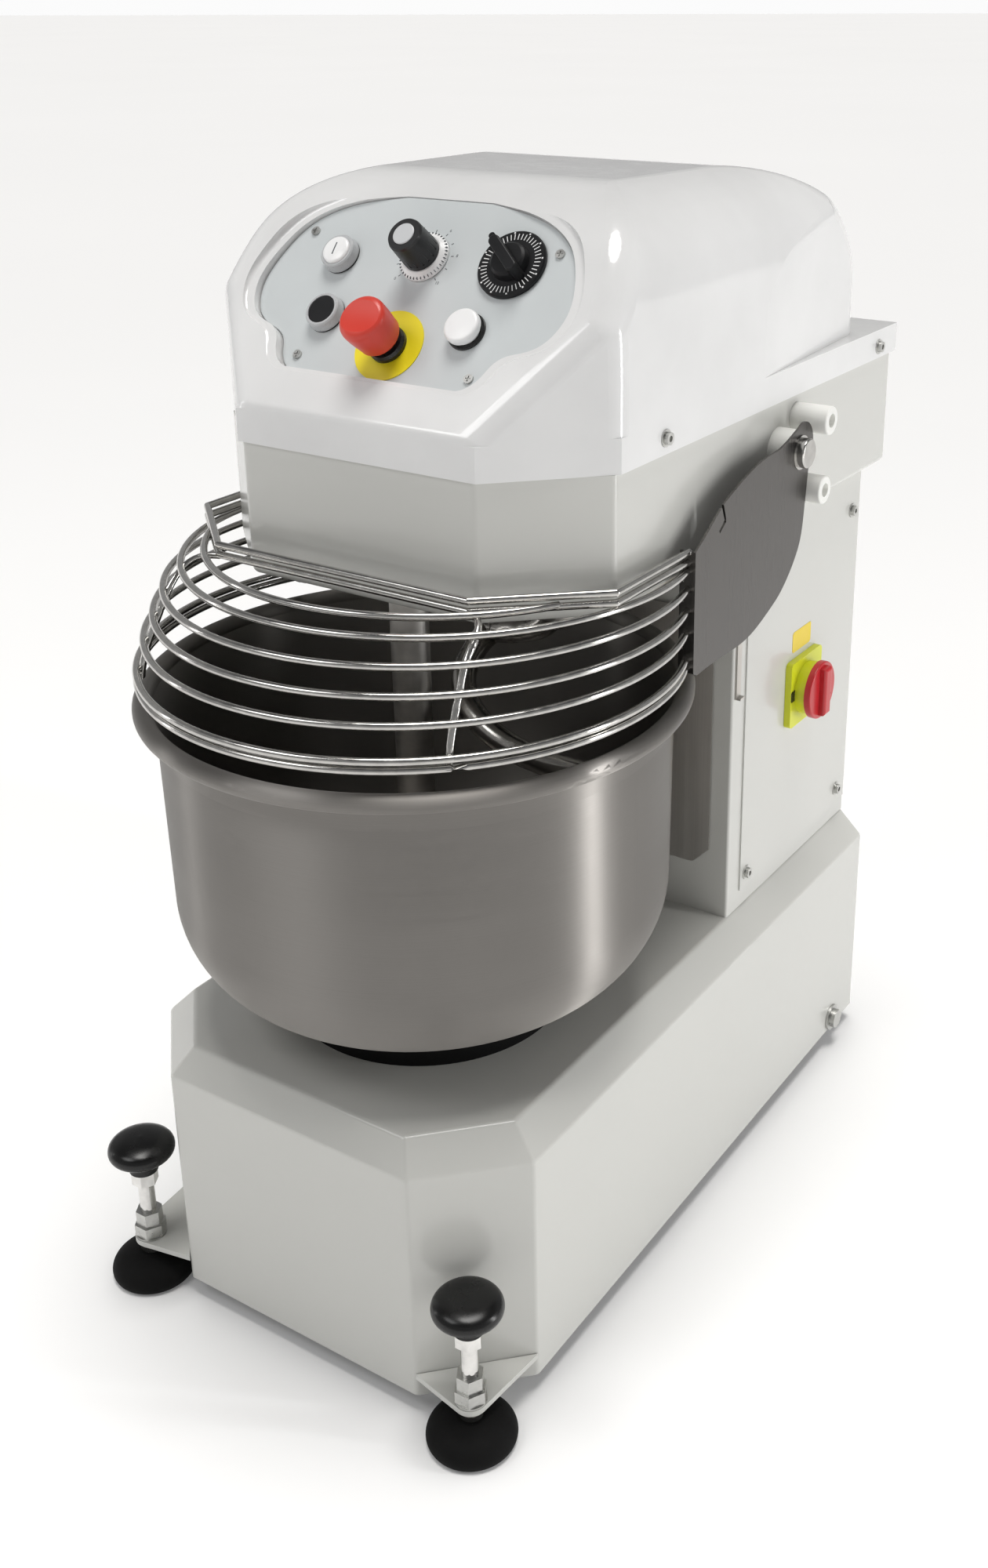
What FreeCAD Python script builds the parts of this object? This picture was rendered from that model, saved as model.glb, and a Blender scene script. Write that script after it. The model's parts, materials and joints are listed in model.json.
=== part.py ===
import FreeCAD, Part
import math, os
from FreeCAD import Vector as V

os.makedirs("parts", exist_ok=True)

# Driving sizes, mm. X is the machine's right seen from its front, -Y its front, +Z up.
base_half, base_front, base_rear = 195.0, -342.5, 354.5
base_low, base_bevel, base_top = 18.0, 229.0, 254.0
base_cut_x, base_cut_y = 71.0, 70.0
column_half, column_front, column_rear = 171.0, 87.5, 352.5
head_half, head_front, head_rear = 187.5, -213.0, 365.0
head_low, head_top = 637.0, 747.0
head_cut_x, head_cut_y = 77.0, 70.0
hood_half, hood_front, hood_rear = 190.0, -215.0, 375.0
hood_crease, hood_ledge, hood_crown = 779.0, 774.0, 941.0
panel_tilt, panel_y, panel_z = 50.0, -105.5, 895.0
fascia_lean = 2.4
timer_rest = 140.0
sheet = 2.5

bowl_y, bowl_rim, bowl_wall = -147.0, 228.0, 211.0
bowl_low, bowl_lip = 288.0, 545.0
spiral_x, spiral_y, spiral_reach, bar_r = 80.0, -66.0, 75.0, 11.0
drive_y = 165.0
base_drive_r, bowl_pulley_r, head_pulley_r = 23.0, 158.9, 60.0
base_belt_z, head_belt_z = 76.0, 694.0

guard_y, guard_z = 123.8, 705.7
guard_face = 208.0
wire_r, wire_x, wire_end = 3.0, 203.0, -60.3
guard_arcs = [(-368.6, 571.0), (-368.6, 578.0), (-359.0, 601.0), (-347.8, 619.0),
              (-335.9, 637.0), (-316.5, 652.0)]
guard_frame_z, guard_corner, guard_nose = 659.0, -166.9, (121.6, -238.5)

foot_x, foot_y, foot_plate_z = 175.7, -338.5, 40.5
axle_y, axle_z = 297.4, 30.7
castor_x, castor_y, castor_trail, castor_r = 118.0, -232.0, 18.0, 24.0
switch_y, switch_z = 227.2, 443.0
splash_low, strip_low = 306.0, 478.0
gland_x, gland_z = -110.0, 300.0

UP, RIGHT, BACK = V(0, 0, 1), V(1, 0, 0), V(0, 1, 0)


def save(name, *solids):
    shape = solids[0] if len(solids) == 1 else Part.makeCompound(list(solids))
    shape.exportStep("parts/%s.step" % name)


def box(x0, x1, y0, y1, z0, z1):
    return Part.makeBox(x1 - x0, y1 - y0, z1 - z0, V(x0, y0, z0))


def rod(r, start, end):
    return Part.makeCylinder(r, (end - start).Length, start, end - start)


def post(r, x, y, z0, z1):
    return Part.makeCylinder(r, z1 - z0, V(x, y, z0), UP)


def gland_rod(r, y0, y1):
    return rod(r, V(gland_x, y0, gland_z), V(gland_x, y1, gland_z))


def cross(r, y, z, x0, x1):
    return Part.makeCylinder(r, x1 - x0, V(x0, y, z), RIGHT)


def tube(outer, inner, x, y, z0, z1):
    return post(outer, x, y, z0, z1).cut(post(inner, x, y, z0 - 1, z1 + 1))


def join(first, *others):
    return first.multiFuse(list(others)).removeSplitter() if others else first


def both_sides(shape):
    return [shape, shape.mirror(V(0, 0, 0), RIGHT)]


def face(points):
    return Part.Face(Part.makePolygon(points + [points[0]]))


def prism_z(points, z0, z1):
    return face([V(x, y, z0) for x, y in points]).extrude(V(0, 0, z1 - z0))


def prism_x(points, x0, x1):
    return face([V(x0, y, z) for y, z in points]).extrude(V(x1 - x0, 0, 0))


def smooth_edge(points):
    curve = Part.BSplineCurve()
    curve.interpolate(points)
    return curve.toShape()


def pipe(points, r):
    ring = Part.Wire(Part.Circle(points[0], points[1] - points[0], r).toShape())
    return Part.Wire(smooth_edge(points)).makePipeShell([ring], True, True, 0)


def lathe(points, x=0.0, y=0.0):
    solid = face([V(r, 0, z) for r, z in points]).revolve(V(0, 0, 0), UP, 360)
    solid.translate(V(x, y, 0))
    return solid


def turned(r0, z0, curve, x=0.0, y=0.0):
    points = [V(r, 0, z) for r, z in curve]
    edges = [Part.LineSegment(V(0, 0, z0), V(r0, 0, z0)).toShape()]
    if (V(r0, 0, z0) - points[0]).Length > 0.01:
        edges.append(Part.LineSegment(V(r0, 0, z0), points[0]).toShape())
    edges.append(smooth_edge(points))
    if points[-1].x > 0.01:
        edges.append(Part.LineSegment(points[-1], V(0, 0, points[-1].z)).toShape())
    edges.append(Part.LineSegment(V(0, 0, points[-1].z), V(0, 0, z0)).toShape())
    solid = Part.Face(Part.Wire(edges)).revolve(V(0, 0, 0), UP, 360)
    solid.translate(V(x, y, 0))
    return solid


def soften(shape, radius, wanted):
    return shape.makeFillet(radius, [e for e in shape.Edges if wanted(e)])


def hexagon(half, front, rear, cut_x, cut_y):
    return [(-half, rear), (-half, front + cut_y), (-half + cut_x, front),
            (half - cut_x, front), (half, front + cut_y), (half, rear)]


def above(z):
    return lambda e: e.BoundBox.ZMin > z - 0.1 or e.BoundBox.ZLength > 5


def tilted(shape, x=0.0, s=0.0):
    shape.translate(V(x, s, 0))
    shape.rotate(V(0, 0, 0), RIGHT, panel_tilt)
    shape.translate(V(0, panel_y, panel_z))
    return shape


# Base: a folded sheet box, open below, with a beveled top edge.
def base_block(inset, low):
    outer = hexagon(base_half - inset, base_front + inset, base_rear - inset,
                    base_cut_x - 0.6 * inset, base_cut_y - 0.6 * inset)
    inner = hexagon(column_half - inset, base_front + 17 + inset, base_rear - 2 - inset,
                    base_cut_x - 10, base_cut_y - 8)
    wires = [Part.makePolygon([V(x, y, z) for x, y in ring + ring[:1]])
             for ring, z in ((outer, base_bevel - inset), (inner, base_top - inset))]
    return join(prism_z(outer, low, base_bevel - inset), Part.makeLoft(wires, True, True))


base = soften(base_block(0, base_low), 5.8, above(base_bevel)).cut(base_block(sheet, base_low - 5))
for hole in (post(48, 0, bowl_y, 240, 260), post(30, 0, drive_y, 240, 260),
             cross(8.3, axle_y, axle_z, -200, 200)):
    base = base.cut(hole)
save("base_housing", base)

# Column: a sheet tube between base and head.
column = box(-column_half, column_half, column_front, column_rear, base_top, head_low)
column = soften(column, 2.5, lambda e: e.BoundBox.ZLength > 5)
column = column.cut(box(-column_half + sheet, column_half - sheet, column_front + sheet,
                        column_rear - sheet, base_top - 1, head_low + 1))
window = box(column_half - 5, column_half + 1, 140, 325, 300, 580)
rear_window = box(-120, 120, column_rear - 5, column_rear + 1, 300, 590)
column = column.cut(window).cut(rear_window).cut(gland_rod(10, column_rear - 5, column_rear + 1))
save("column_housing", column)

# Head: a sheet tray that holds the drive, open above.
head = prism_z(hexagon(head_half, head_front, head_rear, head_cut_x, head_cut_y), head_low, head_top)
head = soften(head, 7.0, lambda e: e.BoundBox.ZMax < head_low + 0.1
              or (e.BoundBox.ZLength > 5 and e.BoundBox.YMax < 0))
head = head.cut(prism_z(hexagon(head_half - sheet, head_front + sheet, head_rear - sheet,
                                head_cut_x - 1.5, head_cut_y - 1.5), head_low + 3, head_top + 1))
for hole in (post(48.5, spiral_x, spiral_y, 630, 645), post(40, 0, drive_y, 630, 645),
             cross(8.6, guard_y, guard_z, -200, 200)):
    head = head.cut(hole)
save("head_housing", head)


# Hood: skirt, inclined front, arched top and a rear that drops to a ledge.
def hood_profile(inset):
    slope = math.tan(math.radians(panel_tilt))
    lift = inset / math.cos(math.radians(panel_tilt))
    crown = hood_crown - inset
    fall = -0.011
    bend = 62.0
    meet = hood_front + (crown - (hood_crease - lift)) / (slope - fall)
    start = V(0, meet - bend * math.cos(math.radians(panel_tilt)),
              crown - bend * math.sin(math.radians(panel_tilt)))
    knee = V(0, meet, crown)
    end = V(0, meet + bend, crown + fall * bend)
    curve = Part.BezierCurve()
    curve.setPoles([start, start + (knee - start) * 0.6, end + (knee - end) * 0.6, end])
    back_start, back_end = 108.0, 314.0 - inset
    z0 = crown + fall * (back_start - meet)
    drop = [V(0, back_start + (back_end - back_start) * math.sin(a),
              812 + (z0 - 812) * math.cos(a) ** 0.9)
            for a in [math.radians(d) for d in (0, 12, 24, 36, 48, 60, 70, 79, 85)]]
    drop.append(V(0, back_end, 806))
    front = V(0, hood_front + inset, hood_crease - lift + slope * inset)
    low = hood_ledge - 30
    edges = [Part.LineSegment(V(0, hood_front + inset, low), front).toShape(),
             Part.LineSegment(front, start).toShape(), curve.toShape(),
             Part.LineSegment(end, drop[0]).toShape(), smooth_edge(drop),
             Part.LineSegment(drop[-1], V(0, back_end, low)).toShape(),
             Part.LineSegment(V(0, back_end, low), V(0, hood_front + inset, low)).toShape()]
    side = Part.Face(Part.Wire(edges))
    side.translate(V(-300, 0, 0))
    return side.extrude(V(600, 0, 0))


def hood_arch(inset):
    half, spring, top = hood_half - inset, 800.0, hood_crown + 6 - inset
    arc = []
    for k in range(0, 37):
        a = math.radians(k * 5.0)
        c, s = math.cos(a), math.sin(a)
        arc.append(V(half * math.copysign(abs(c) ** (2 / 3.6), c), 0,
                     spring + (top - spring) * abs(s) ** (2 / 3.6)))
    low = hood_ledge - 30
    edges = [smooth_edge(arc), Part.LineSegment(arc[-1], V(-half, 0, low)).toShape(),
             Part.LineSegment(V(-half, 0, low), V(half, 0, low)).toShape(),
             Part.LineSegment(V(half, 0, low), arc[0]).toShape()]
    front = Part.Face(Part.Wire(edges))
    front.translate(V(0, -300, 0))
    return front.extrude(V(0, 700, 0))


def hood_plan(inset):
    half = hood_half - inset
    cut = 76.0 - 0.6 * inset
    points = [(half, hood_front + inset + cut), (half, 90), (half - 17, 330), (half - 17, 380)]
    left = [(-x, y) for x, y in reversed(points)]
    nose = [(-half + cut, hood_front + inset), (half - cut, hood_front + inset)]
    return prism_z(left + nose + points, head_top, 960)


def hood_skirt(inset, low, high):
    return prism_z(hexagon(hood_half - inset, hood_front + inset, hood_rear - inset,
                           76.0 - 0.6 * inset, 76.0 - 0.6 * inset), low, high)


def hood_block(inset):
    return hood_plan(inset).common(hood_profile(inset)).common(hood_arch(inset))


def hood_edges(e):
    b = e.BoundBox
    return b.ZMax > head_top + 0.5 and b.XLength < 150 and b.ZLength > 0.5 and b.YMin < 300


# Panel outline, half of it, from the bottom centre round to the top centre.
panel_half = [(80, -123), (89, -119), (97, -109), (102, -98), (110, -90.5), (122, -86), (135, -78),
              (143, -65), (146, -50), (143, -31), (136.5, -14), (127, 2), (108, 18), (78, 30), (40, 37.5)]


def panel_outline(grow, h):
    middle = V(0, -50, h)
    right = [V(x, y, h) for x, y in panel_half]
    right = [p + (p - middle).normalize() * grow for p in right]
    left = [V(-p.x, p.y, h) for p in reversed(right)]
    low = Part.LineSegment(left[-1], right[0]).toShape()
    top = Part.LineSegment(right[-1], left[0]).toShape()
    return Part.Face(Part.Wire([low, smooth_edge(right), top, smooth_edge(left)]))


def crease(e):
    b = e.BoundBox
    return b.ZLength < 0.5 and abs(b.ZMin - hood_crease) < 1 and b.YMax < hood_front + 1


hood = soften(hood_block(0), 24.0, hood_edges)
hood = soften(hood, 9.0, crease)
hood = join(hood, hood_skirt(0, head_top, hood_ledge))
inside = soften(hood_block(5.5), 17.0, hood_edges)
# The fascia lies flush at its lower edge and sinks into the hood towards the top.
fascia = soften(panel_outline(11, 0).extrude(V(0, 0, 60)), 4.0, lambda e: e.BoundBox.ZMax < 0.1)
fascia.rotate(V(0, 0, 0), RIGHT, -fascia_lean)
fascia.translate(V(0, 0, 4.1))
hood = hood.cut(tilted(fascia)).cut(tilted(panel_outline(1.2, -2.0).extrude(V(0, 0, 60))))
hollow = join(inside, hood_skirt(4, head_top - 1, hood_ledge - 4))
hood = hood.cut(hollow.cut(tilted(panel_outline(16, -7.0).extrude(V(0, 0, 60)))))
buttons = {"start": (-80, -20), "stop": (-70, -72), "jog": (64, -71.5)}
estop_spot, speed_spot, timer_spot = (0, -91), (-1, -14), (80.6, -13.4)
corner_screws = [(-117, 0), (117, 0), (-82, -109), (82, -109)]
openings = [(x, s, 12.3) for x, s in buttons.values()] + [(*estop_spot, 11.3)]
openings += [(*speed_spot, 5.5), (*timer_spot, 5.5)] + [(x, s, 2.2) for x, s in corner_screws]
for x, s, r in openings:
    hood = hood.cut(tilted(post(r, 0, 0, -20, 10), x, s))
save("head_cover", hood)

# Control panel plate and everything on it.
plate = panel_outline(0, -2.0).extrude(V(0, 0, 2.0))
for x, s, r in openings:
    plate = plate.cut(post(r, x, s, -5, 5))
save("control_plate", tilted(plate))


def panel_screw(x, s):
    head_cap = post(3.8, 0, 0, 0, 1.6).fuse(post(2.15, 0, 0, -7, 0))
    for turn in (0, 90):
        slot = box(-2.4, 2.4, -0.45, 0.45, 0.8, 2)
        slot.rotate(V(0, 0, 0), UP, turn)
        head_cap = head_cap.cut(slot)
    return tilted(head_cap, x, s)


save("control_screws", *[panel_screw(x, s) for x, s in corner_screws])

ring = [(12.08, 0), (15.6, 0), (15.6, 2.6), (14.7, 8.4), (13.7, 9.4), (12.08, 9.4)]
bezels = [tilted(lathe(ring), *buttons[name]) for name in ("start", "stop")]
bezels.append(tilted(lathe([(12.08, 0), (15.6, 0), (15.6, 1.1), (15, 1.6), (12.08, 1.6)]), *buttons["jog"]))
bezels.append(tilted(lathe([(11.05, 0.8), (15.5, 0.8), (15.5, 4), (14, 6.5), (11.05, 6.5)]), *estop_spot))
save("button_bezels", *bezels)

caps = {
    "start": turned(12, 2, [(12, 9.0), (11.4, 10.6), (8.5, 11.7), (4, 12.2), (0, 12.3)]),
    "stop": lathe([(0, 2), (12, 2), (12, 8.4), (11.2, 9.0), (0, 9.0)]),
    "jog": turned(14.5, 5.9, [(14.5, 9.2), (13.6, 10.8), (10, 11.7), (5, 12.1), (0, 12.2)]),
}
for name, place in buttons.items():
    save(name + "_button", tilted(join(caps[name], post(12, 0, 0, 2, 6), post(5, 0, 0, -14, 2)), *place))

save("estop_legend", tilted(tube(30, 11.3, 0, 0, 0, 0.8), *estop_spot))
estop = turned(16.4, 13.5, [(17.6, 15.5), (18.6, 26), (19.2, 36), (18.6, 40.6), (15.6, 43.4),
                            (8, 44.4), (0, 44.6)])
estop = estop.cut(cross(60, 0, 102.6, -30, 30))
save("estop_head", tilted(estop.cut(post(6.05, 0, 0, 10, 30)), *estop_spot))
save("estop_stem", tilted(join(post(11, 0, 0, -14, 13.5), post(6, 0, 0, 13, 29)), *estop_spot))

contact_boxes = [tilted(tube(13, 5.4, 0, 0, -46, -9.6).fuse(box(-12, 12, -14, 14, -46, -40)), x, s)
                 for x, s in buttons.values()]
for spot, wide, bore, deep in ((estop_spot, 16, 11.4, 50), (speed_spot, 12, 3.3, 24),
                               (timer_spot, 20, 3.3, 44)):
    block = join(tube(wide, bore, 0, 0, -deep, -9.6), box(-wide, wide, -wide, wide, -deep - 3, -deep + 2))
    contact_boxes.append(tilted(block, *spot))
guard_contact = join(box(-184.8, -150, 60, 92, 684, 724), box(-150, -146, 74, 80, 690, 718))
save("contact_blocks", guard_contact, *contact_boxes)

dial = lathe([(0, 0.6), (21, 0.6), (21, 2.4), (16.5, 6), (0, 6)])
save("speed_dial", tilted(dial.fuse(post(3.2, 0, 0, -20, 0.6)), *speed_spot))
grip = lathe([(0, 6), (15.4, 6), (15.4, 10), (14.4, 31), (13.6, 33), (0, 33)])
for k in range(18):
    notch = post(1.1, 16.0, 0, 10, 31)
    notch.rotate(V(0, 0, 0), UP, 20 * k + 10)
    grip = grip.cut(notch)
speed_cap = lathe([(0, 33), (9, 33), (9, 33.6), (8.4, 34), (0, 34)])
save("speed_knob", tilted(grip, *speed_spot), tilted(speed_cap, *speed_spot))

# The timer's dial carries a round boss, a grip ridge and a pointer that reaches past the edge.
timer = lathe([(0, 0.6), (28.4, 0.6), (28.4, 3.2), (27.4, 4.4), (15.5, 4.4), (14.5, 10.5),
               (12.5, 12), (0, 12)])
ridge = join(box(-15, 15, -4.5, 4.5, 4, 20), post(4.5, 15, 0, 4, 20), post(4.5, -15, 0, 4, 20))
ridge = soften(ridge, 1.5, lambda e: e.BoundBox.ZMin > 19.9)
pointer = join(box(10, 29, -2.6, 2.6, 4, 10), post(2.6, 29, 0, 4, 10))
ridge = join(ridge, pointer)
ridge.rotate(V(0, 0, 0), UP, timer_rest)
save("timer_dial", tilted(join(timer, ridge, post(3.2, 0, 0, -40, 1)), *timer_spot))

# Bowl, spun from sheet with a rolled rim, on its own shaft and pulley.
outer_r, inner_r, low_r = bowl_wall - 2, bowl_wall - 4, 88.0


def bowl_side(inset):
    r, cx, cz = low_r - inset, bowl_wall - 2 - low_r, bowl_low + low_r
    start, knee, end = V(cx, 0, cz - r), V(cx + r * 0.7071, 0, cz - r * 0.7071), V(cx + r, 0, cz)
    lean = V(bowl_wall - inset, 0, 518)
    flare = V(bowl_wall + 1.5 - inset, 0, 532)
    lip = V(bowl_rim - 13, 0, bowl_lip)
    return [Part.LineSegment(V(0, 0, cz - r), start).toShape(), Part.Arc(start, knee, end).toShape(),
            Part.LineSegment(end, lean).toShape(), Part.Arc(lean, flare, lip).toShape()], lip


outside, lip = bowl_side(0)
edges = outside + [Part.LineSegment(lip, V(0, 0, bowl_lip)).toShape(),
                   Part.LineSegment(V(0, 0, bowl_lip), V(0, 0, bowl_low)).toShape()]
bowl = Part.Face(Part.Wire(edges)).revolve(V(0, 0, 0), UP, 360)
inside, lip = bowl_side(2)
edges = inside + [Part.LineSegment(lip, V(bowl_rim - 13, 0, bowl_lip + 5)).toShape(),
                  Part.LineSegment(V(bowl_rim - 13, 0, bowl_lip + 5), V(0, 0, bowl_lip + 5)).toShape(),
                  Part.LineSegment(V(0, 0, bowl_lip + 5), V(0, 0, bowl_low + 2)).toShape()]
hollow = Part.Face(Part.Wire(edges)).revolve(V(0, 0, 0), UP, 360)
rim = Part.makeTorus(bowl_rim - 7.5, 7.5, V(0, 0, bowl_lip), UP)
bowl = bowl.cut(hollow).fuse(rim)
bowl.translate(V(0, bowl_y, 0))
save("bowl", bowl)
shaft = join(post(22.5, 0, bowl_y, 52, 280), post(100, 0, bowl_y, 276, bowl_low),
             post(bowl_pulley_r, 0, bowl_y, base_belt_z, base_belt_z + 28))
for k in range(6):
    a = math.radians(60 * k)
    shaft = shaft.cut(post(30, 95 * math.cos(a), bowl_y + 95 * math.sin(a), base_belt_z - 1,
                           base_belt_z + 29))
save("bowl_shaft", shaft)
housing = join(post(62, 0, bowl_y, 122, base_top - sheet), post(88, 0, bowl_y, 243, base_top - sheet))
save("bowl_bearing", housing.cut(post(22.55, 0, bowl_y, 100, 270)))
seal = lathe([(103, base_top), (121, base_top), (121, 281), (117, 284), (103, 284)], 0, bowl_y)
save("bowl_seal", seal)

# Spiral, its shaft and housing, and the fixed divider bar.
path = [V(0, 0, 604), V(0, 0, 594), V(-8, 0.5, 583), V(-30, 4, 572), V(-54, 8, 565)]
for k in range(0, 26):
    a = math.radians(170 + 19 * k)
    z = 557 - 180 * 19 * k / 360.0
    r = spiral_reach - (0 if k < 20 else 3.8 * (k - 19))
    path.append(V(r * math.cos(a), r * math.sin(a), z))
spiral = pipe(path, bar_r).fuse(post(24, 0, 0, 596, 622))
spiral.translate(V(spiral_x, spiral_y, 0))
save("spiral_hook", spiral)
shaft = join(post(20, spiral_x, spiral_y, 622, 738),
             post(head_pulley_r, spiral_x, spiral_y, head_belt_z, head_belt_z + 28))
save("spiral_shaft", shaft)
housing = join(post(48, spiral_x, spiral_y, 624, 688), post(70, spiral_x, spiral_y, 640, 652))
save("spiral_bearing", housing.cut(post(20.05, spiral_x, spiral_y, 600, 700)))
divider = join(post(16, -6, bowl_y, 316, 628), Part.makeSphere(16, V(-6, bowl_y, 316)),
               post(36, -6, bowl_y, 627, head_low))
save("dough_divider", divider)

# Drive: one upright shaft through the gearbox, a pulley at each end.
shaft = join(post(17.5, 0, drive_y, 66, 736),
             post(base_drive_r, 0, drive_y, base_belt_z, base_belt_z + 28),
             post(head_pulley_r, 0, drive_y, head_belt_z, head_belt_z + 28))
save("drive_shaft", shaft)
gearbox = join(box(-78, 78, 118, 332, 446, 530),
               box(-column_half + sheet, column_half - sheet, 112, 338, 436, 446))
gearbox = gearbox.cut(post(17.55, 0, drive_y, 400, 560)).cut(post(9, 0, 262, 430, 470))
gearbox = gearbox.cut(box(110, 175, 190, 265, 430, 450))
save("gearbox", soften(gearbox, 4.0, lambda e: e.BoundBox.ZMin > 445.5 and e.BoundBox.ZLength > 50
                       and e.BoundBox.XLength < 1 and e.BoundBox.YLength < 1))
motor = tube(64, 50, 0, 262, 274, 432).fuse(tube(68, 8.5, 0, 262, 432, 436))
fins = []
for k in range(24):
    fin = box(63, 70, -1.5, 1.5, 290, 425)
    fin.rotate(V(0, 0, 0), UP, 15 * k)
    fin.translate(V(0, 262, 0))
    fins.append(fin)
save("motor_body", join(motor, *fins))
rotor = join(post(46, 0, 262, 292, 420), post(8, 0, 262, 262, 468), post(44, 0, 262, 264, 270))
save("motor_rotor", rotor)


def belt(x0, y0, r0, x1, y1, r1, z0, z1, gap, thick):
    def loop(extra):
        d = V(x1 - x0, y1 - y0, 0)
        n = d.Length
        turn = math.atan2(d.y, d.x)
        off = math.acos((r0 - r1) / n)
        out = []
        for x, y, r, a, b in ((x0, y0, r0, turn + off, turn + 2 * math.pi - off),
                              (x1, y1, r1, turn - off, turn + off)):
            r += extra
            ends = [V(x + r * math.cos(t), y + r * math.sin(t), z0) for t in (a, (a + b) / 2, b)]
            out.append(ends)
        edges = [Part.Arc(*out[0]).toShape(), Part.LineSegment(out[0][2], out[1][0]).toShape(),
                 Part.Arc(*out[1]).toShape(), Part.LineSegment(out[1][2], out[0][0]).toShape()]
        return Part.Face(Part.Wire(edges)).extrude(V(0, 0, z1 - z0))
    return loop(gap + thick).cut(loop(gap))


save("drive_belts",
     belt(0, bowl_y, bowl_pulley_r, 0, drive_y, base_drive_r, base_belt_z + 2, base_belt_z + 26, 0.3, 6),
     belt(spiral_x, spiral_y, head_pulley_r, 0, drive_y, head_pulley_r, head_belt_z + 2,
          head_belt_z + 26, 0.3, 6))
inverter = join(box(-163, -104, 150, 310, 470, 610), *[box(-104, -98, 160 + 14 * k, 164 + 14 * k, 480, 600)
                                                      for k in range(11)])
save("inverter_box", inverter)

# Guard: wire basket between two side plates on the head's pivots.
def arc_wire(front, z):
    h = wire_end - front
    r = (wire_x ** 2 + h ** 2) / (2 * h)
    a = V(-wire_x, wire_end, z)
    arc = Part.Wire(Part.Arc(a, V(0, front, z), V(wire_x, wire_end, z)).toShape())
    start = arc.Edges[0].tangentAt(arc.Edges[0].FirstParameter)
    ring = Part.Wire(Part.Circle(a, start, wire_r).toShape())
    return arc.makePipeShell([ring], True, True), front + r, r


wires, hubs = [], []
for front, z in guard_arcs:
    wire, centre, r = arc_wire(front, z)
    wires.append(wire)
    hubs.append((centre, r, z))
corners = [V(wire_x, wire_end, 0), V(wire_x, guard_corner, 0), V(guard_nose[0], guard_nose[1], 0)]
corners += [V(-p.x, p.y, 0) for p in reversed(corners)]
for z in (guard_frame_z, guard_frame_z + 8):
    ring = [V(p.x, p.y, z) for p in corners]
    for a, b in zip(ring, ring[1:]):
        wires.append(rod(wire_r, a, b))
    wires += [Part.makeSphere(wire_r, p) for p in ring[1:-1]]
small = [V(171, -194.5, guard_frame_z + 1), V(0, -295.3, guard_frame_z + 1),
         V(-171, -194.5, guard_frame_z + 1)]
arc = Part.Wire(Part.Arc(*small).toShape())
tangent = arc.Edges[0].tangentAt(arc.Edges[0].FirstParameter)
wires.append(arc.makePipeShell([Part.Wire(Part.Circle(small[0], tangent, wire_r).toShape())], True, True))
strut = [V(guard_nose[0], guard_nose[1], guard_frame_z - 1)]
a = math.radians(44)
for centre, r, z in reversed(hubs):
    if z > 572:
        strut.append(V((r - 5) * math.sin(a), centre - (r - 5) * math.cos(a), z))
strut.append(strut[-1] + V(0.4, -1.2, -7))
strut = pipe(strut, wire_r)
wires += both_sides(strut)
basket = wires[0].multiFuse(wires[1:])
save("guard_wires", basket)

outline = [(-60.3, 566), (-54.2, 562.7), (0, 563.8), (37, 565.8), (72.9, 577), (93, 586), (108.8, 597.6),
           (121, 610), (130.3, 624.2), (136, 648), (139.5, 674.5), (143.5, 694), (148.3, 709),
           (147, 719), (141, 727), (133.9, 730.5), (127, 730.8)]
top = [(127, 730.8), (113, 725.4), (100, 721.2), (84, 717.4), (66, 716.4), (50, 714.8), (24.7, 709),
       (0, 701), (-12, 696.5), (-24, 690), (-42, 678.5), (-60.3, 668)]
points = [V(guard_face, y, z) for y, z in outline]
upper = [V(guard_face, y, z) for y, z in top]
chain = [Part.LineSegment(points[0], points[1]).toShape(), smooth_edge(points[1:]), smooth_edge(upper),
         Part.LineSegment(upper[-1], points[0]).toShape()]
plate = Part.Face(Part.Wire(chain)).extrude(V(2, 0, 0))
lip_strip = box(196, guard_face, wire_end, wire_end + 2, 566, 668)
for z in (588, 610, 628, 644.5):
    lip_strip = lip_strip.cut(box(190, 200, -70, -50, z - 3, z + 3))
plate = plate.cut(cross(8.05, guard_y, guard_z, 200, 220)).fuse(lip_strip)
# A short L-shaped slit leaves a springy tab at the plate's upper edge.
for slit in ([(-20, 698), (-16.5, 699), (-10.5, 681.5), (-12.5, 680)],
             [(-12.5, 682.8), (-10.3, 680), (-20.5, 672.8), (-22, 675.2)]):
    plate = plate.cut(prism_x(slit, guard_face - 1, guard_face + 3))
save("guard_plates", *both_sides(plate))
nut_face = cross(13, guard_y, guard_z, 211.5, 219)
nut_face = soften(nut_face, 1.5, lambda e: e.BoundBox.XMin > 218.5)
pin = join(cross(8, guard_y, guard_z, 168, 211), cross(15, guard_y, guard_z, 210, 211.5), nut_face,
           cross(13, guard_y, guard_z, 166, 172))
save("guard_pins", *both_sides(pin))
boss = cross(19, guard_y, guard_z, head_half, 207.7).cut(cross(8.08, guard_y, guard_z, 180, 215))
save("guard_bosses", *both_sides(boss))
stops = []
for y, z in ((159.5, 727.2), (151.9, 666.8)):
    peg = cross(12.5, y, z, head_half, 222).cut(cross(6.2, y, z, 216, 225))
    stops += both_sides(soften(peg, 1.5, lambda e: e.BoundBox.XMin > 221.5 and e.BoundBox.YLength > 20))
save("guard_stops", *stops)

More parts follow.
